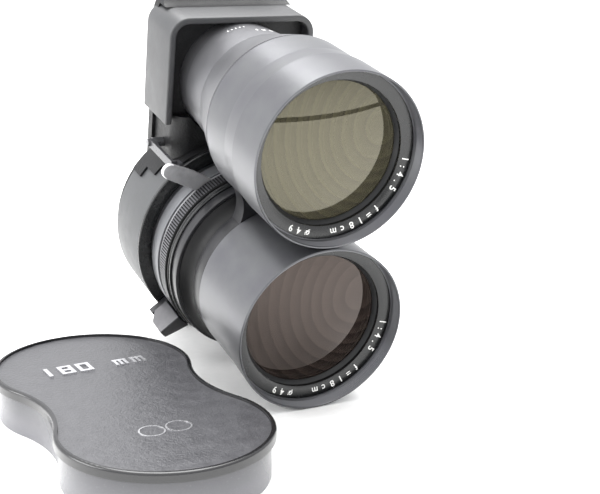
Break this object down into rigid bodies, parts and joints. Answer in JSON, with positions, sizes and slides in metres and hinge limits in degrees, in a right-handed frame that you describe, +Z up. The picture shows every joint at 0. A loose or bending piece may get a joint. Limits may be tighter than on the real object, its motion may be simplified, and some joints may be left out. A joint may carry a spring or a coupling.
{
  "type": "twin telephoto lens unit for a twin lens reflex camera",
  "caption": "Interchangeable twin telephoto lens unit for a twin lens reflex camera, viewing lens over shuttered taking lens on one lens board, with its figure-of-eight slip-on cap beside it.",
  "frame": {"origin": "on the table the unit lies on, under the middle of the overall box of unit and cap", "axes": "+Z up from the table; the lenses look along -Y and 11 degrees down; +X is to the right seen from in front of the lenses; the cap lies on the -X side"},
  "size_m": [0.1154, 0.151, 0.1153],
  "materials": {
    "glass": "coated, olive and brown reflections",
    "satin_grey": "satin grey-black anodised",
    "satin_black": "satin black anodised",
    "crinkle_black": "black crinkle paint",
    "matte_black": "matte black",
    "blade_steel": "blued spring steel",
    "dark_steel": "satin, dark",
    "nickel": "bright nickel",
    "cap_black": "leather-grain moulding",
    "silver": "silver foil on raised characters"
  },
  "bodies": {
    "unit": {"taking_name_ring": "matte_black", "taking_retaining_ring": "matte_black", "taking_front_element": "glass", "taking_inner_element": "glass", "taking_spacer_ring": "matte_black", "viewing_name_ring": "matte_black", "viewing_retaining_ring": "matte_black", "viewing_front_element": "glass", "viewing_inner_element": "glass", "viewing_spacer_ring": "matte_black", "taking_barrel": "satin_black", "barrel_flange": "satin_black", "barrel_yoke": "satin_black", "mask_ring": "matte_black", "cover_ring": "satin_grey", "scale_ring": "matte_black", "hub_band": "satin_grey", "shutter_case": "matte_black", "taking_drum": "satin_grey", "divider_plate": "matte_black", "iris_plate": "matte_black", "rear_cell": "matte_black", "taking_rear_element": "glass", "rear_lock_ring": "matte_black", "lens_board": "matte_black", "viewing_barrel": "satin_black", "viewing_flare": "satin_black", "viewing_tube": "satin_black", "viewing_rear_element": "glass", "viewing_lock_ring": "matte_black", "viewing_shroud": "satin_grey", "neck_casting": "crinkle_black", "drum_saddle": "crinkle_black", "release_pivot": "dark_steel", "board_screws": "dark_steel", "sync_socket": "nickel", "sync_pin": "nickel"},
    "speed_ring": {"speed_ring": "satin_grey"},
    "aperture_lever": {"aperture_lever": "satin_black"},
    "cocking_lever": {"cocking_lever": "dark_steel"},
    "release_lever": {"release_lever": "dark_steel"},
    "cap": {"cap_shell": "cap_black", "cap_panel": "cap_black", "cap_numerals": "silver", "cap_emblem": "silver"},
    "shutter_blade_1": {"shutter_blade_1": "blade_steel"},
    "iris_blade_1": {"iris_blade_1": "blade_steel"},
    "shutter_blade_2": {"shutter_blade_2": "blade_steel"},
    "iris_blade_2": {"iris_blade_2": "blade_steel"},
    "shutter_blade_3": {"shutter_blade_3": "blade_steel"},
    "iris_blade_3": {"iris_blade_3": "blade_steel"},
    "shutter_blade_4": {"shutter_blade_4": "blade_steel"},
    "iris_blade_4": {"iris_blade_4": "blade_steel"},
    "shutter_blade_5": {"shutter_blade_5": "blade_steel"},
    "iris_blade_5": {"iris_blade_5": "blade_steel"}
  },
  "joints": [
    {"name": "speed_turn", "type": "hinge", "parent": "unit", "child": "speed_ring", "pos_m": [0.0259, 0.02084, 0.03408], "axis": [0, -0.9816, -0.191], "range_deg": [-60, 90]},
    {"name": "aperture_turn", "type": "hinge", "parent": "unit", "child": "aperture_lever", "pos_m": [0.0259, 0.03183, 0.03622], "axis": [0, -0.9816, -0.191], "range_deg": [-50, 0]},
    {"name": "cocking_turn", "type": "hinge", "parent": "unit", "child": "cocking_lever", "pos_m": [0.0259, 0.02422, 0.03474], "axis": [0, -0.9816, -0.191], "range_deg": [0, 26], "stiffness_Nm_per_rad": 0.003},
    {"name": "release_swing", "type": "hinge", "parent": "unit", "child": "release_lever", "pos_m": [0.0017, 0.04107, 0.06726], "axis": [-1, 0, 0], "range_deg": [0, 8], "stiffness_Nm_per_rad": 0.003},
    {"name": "shutter_blade_1_swing", "type": "hinge", "parent": "unit", "child": "shutter_blade_1", "pos_m": [0.0482, 0.03765, 0.03735], "axis": [0, -0.9816, -0.191], "range_deg": [-32.5, 0]},
    {"name": "iris_blade_1_swing", "type": "hinge", "parent": "unit", "child": "iris_blade_1", "pos_m": [0.04394, 0.04103, 0.05137], "axis": [0, -0.9816, -0.191], "range_deg": [0, 20.5]},
    {"name": "shutter_blade_2_swing", "type": "hinge", "parent": "unit", "child": "shutter_blade_2", "pos_m": [0.03279, 0.03404, 0.05826], "axis": [0, -0.9816, -0.191], "range_deg": [-32.5, 0]},
    {"name": "iris_blade_2_swing", "type": "hinge", "parent": "unit", "child": "iris_blade_2", "pos_m": [0.01901, 0.03993, 0.0594], "axis": [0, -0.9816, -0.191], "range_deg": [0, 20.5]},
    {"name": "shutter_blade_3_swing", "type": "hinge", "parent": "unit", "child": "shutter_blade_3", "pos_m": [0.00786, 0.03603, 0.05039], "axis": [0, -0.9816, -0.191], "range_deg": [-32.5, 0]},
    {"name": "iris_blade_3_swing", "type": "hinge", "parent": "unit", "child": "iris_blade_3", "pos_m": [0.0036, 0.04442, 0.03867], "axis": [0, -0.9816, -0.191], "range_deg": [0, 20.5]},
    {"name": "shutter_blade_4_swing", "type": "hinge", "parent": "unit", "child": "shutter_blade_4", "pos_m": [0.00786, 0.04148, 0.02475], "axis": [0, -0.9816, -0.191], "range_deg": [-32.5, 0]},
    {"name": "iris_blade_4_swing", "type": "hinge", "parent": "unit", "child": "iris_blade_4", "pos_m": [0.01901, 0.04891, 0.01794], "axis": [0, -0.9816, -0.191], "range_deg": [0, 20.5]},
    {"name": "shutter_blade_5_swing", "type": "hinge", "parent": "unit", "child": "shutter_blade_5", "pos_m": [0.03279, 0.04347, 0.01688], "axis": [0, -0.9816, -0.191], "range_deg": [-32.5, 0]},
    {"name": "iris_blade_5_swing", "type": "hinge", "parent": "unit", "child": "iris_blade_5", "pos_m": [0.04394, 0.04781, 0.02598], "axis": [0, -0.9816, -0.191], "range_deg": [0, 20.5]},
    {"name": "cap_lift", "type": "slide", "parent": "unit", "child": "cap", "axis": [0, 0, 1], "range_m": [0, 0.08]}
  ],
  "couplings": [
    {"joint": "shutter_blade_1_swing", "follows": "release_swing", "ratio": -4},
    {"joint": "shutter_blade_2_swing", "follows": "release_swing", "ratio": -4},
    {"joint": "shutter_blade_3_swing", "follows": "release_swing", "ratio": -4},
    {"joint": "shutter_blade_4_swing", "follows": "release_swing", "ratio": -4},
    {"joint": "shutter_blade_5_swing", "follows": "release_swing", "ratio": -4},
    {"joint": "iris_blade_1_swing", "follows": "aperture_turn", "ratio": -0.4},
    {"joint": "iris_blade_2_swing", "follows": "aperture_turn", "ratio": -0.4},
    {"joint": "iris_blade_3_swing", "follows": "aperture_turn", "ratio": -0.4},
    {"joint": "iris_blade_4_swing", "follows": "aperture_turn", "ratio": -0.4},
    {"joint": "iris_blade_5_swing", "follows": "aperture_turn", "ratio": -0.4}
  ]
}
